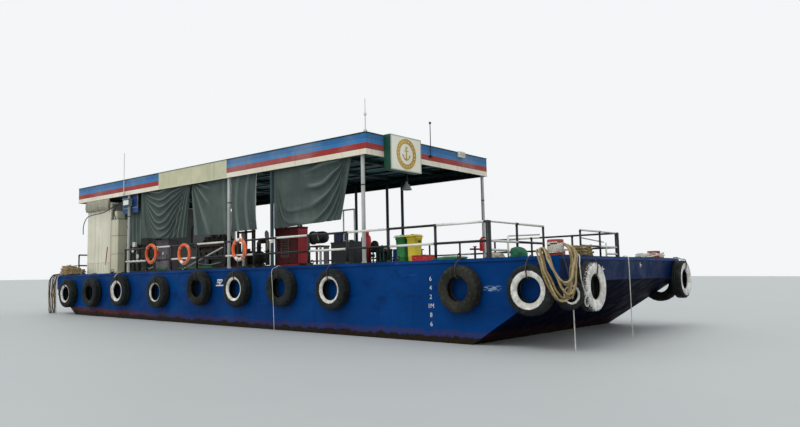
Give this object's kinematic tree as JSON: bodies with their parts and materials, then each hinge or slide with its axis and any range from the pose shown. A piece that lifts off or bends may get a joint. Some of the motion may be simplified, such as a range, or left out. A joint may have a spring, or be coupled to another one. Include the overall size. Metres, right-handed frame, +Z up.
{
  "type": "deck barge",
  "caption": "Blue flat-topped service barge with a raked bow and stern, a deckhouse aft, an open canopy with a striped fascia, tarpaulins, guard rails and tyre fenders.",
  "frame": {"origin": "middle of the flat bottom of the hull, on its centre plane", "axes": "+X towards the bow, +Y towards port, +Z up"},
  "size_m": [21.7457, 8.0379, 6.46],
  "materials": {
    "hull_blue": "weathered gloss",
    "tyre_rubber": "worn",
    "black_steel": "satin",
    "cream_steel": "weathered",
    "grey_steel": "satin",
    "fascia_paint": "semi-gloss bands",
    "roof_steel": "matte",
    "sign_cream": "gloss",
    "tarpaulin": "matte",
    "buoy_orange": "satin",
    "bollard_red": "chipped",
    "bin_green": "satin",
    "bin_yellow": "satin",
    "machine_red": "satin",
    "machine_grey": "oiled",
    "board_blue": "satin",
    "rope_brown": "frayed",
    "rope_white": "laid",
    "lamp_shell": "satin"
  },
  "bodies": {
    "barge": {"hull": "hull_blue", "hatch_coaming": "hull_blue", "fenders_starboard": "tyre_rubber", "fenders_port": "tyre_rubber", "fenders_bow": "tyre_rubber", "fenders_stern": "tyre_rubber", "bollard_bow_starboard": "bollard_red", "bollard_bow_port": "bollard_red", "bollard_stern_starboard": "bollard_red", "bollard_stern_port": "bollard_red", "cabin_wall_starboard": "cream_steel", "cabin_wall_port": "cream_steel", "cabin_wall_aft": "cream_steel", "cabin_wall_fore": "cream_steel", "cabin_roof": "cream_steel", "deck_locker": "cream_steel", "canopy_frame_starboard": "grey_steel", "canopy_frame_port": "grey_steel", "roof_frame": "roof_steel", "roof_sheet": "roof_steel", "fascia_starboard": "fascia_paint", "fascia_port": "fascia_paint", "fascia_bow": "fascia_paint", "fascia_stern": "fascia_paint", "sign_box": "sign_cream", "tarp_aft": "tarpaulin", "tarp_middle": "tarpaulin", "tarp_short": "tarpaulin", "tarp_fore": "tarpaulin", "tarp_inner": "tarpaulin", "tarp_bundle": "tarpaulin", "notice_board": "board_blue", "rail_starboard": "black_steel", "rail_port": "black_steel", "rail_stern": "black_steel", "lifebuoy_aft": "buoy_orange", "lifebuoy_middle": "buoy_orange", "lifebuoy_fore": "buoy_orange", "bin_green": "bin_green", "bin_yellow": "bin_yellow", "generator": "machine_red", "pump_set": "machine_grey", "tool_case": "machine_red", "gas_bottle_rack": "machine_red", "floodlight": "lamp_shell", "aerial_bow": "grey_steel", "aerial_middle": "grey_steel", "aerial_aft": "grey_steel", "deck_box": "board_blue", "stern_rope_bundle": "rope_brown", "bow_rope_hank": "rope_brown", "bow_rope_turns": "rope_white", "bow_rope_white": "rope_white", "bow_rope_eye": "rope_white", "bow_rope_grey": "rope_white", "side_rope": "rope_white"},
    "cabin_door": {"cabin_door": "cream_steel"},
    "hatch_lid": {"hatch_lid": "hull_blue"},
    "bin_green_lid": {"bin_green_lid": "bin_green"},
    "bin_yellow_lid": {"bin_yellow_lid": "bin_yellow"}
  },
  "joints": [
    {"name": "cabin_door_hinge", "type": "hinge", "parent": "barge", "child": "cabin_door", "pos_m": [-7.974, -1.3, 3.1], "axis": [0, 0, -1], "range_deg": [0, 110]},
    {"name": "hatch_lid_hinge", "type": "hinge", "parent": "barge", "child": "hatch_lid", "pos_m": [4.404, -1.1, 2.4525], "axis": [0, -1, 0], "range_deg": [0, 110]},
    {"name": "bin_green_lid_hinge", "type": "hinge", "parent": "barge", "child": "bin_green_lid", "pos_m": [5.43, -1.966, 2.7043], "axis": [-1, 0, 0], "range_deg": [0, 105]},
    {"name": "bin_yellow_lid_hinge", "type": "hinge", "parent": "barge", "child": "bin_yellow_lid", "pos_m": [5.8, -1.966, 2.7043], "axis": [-1, 0, 0], "range_deg": [0, 105]}
  ]
}
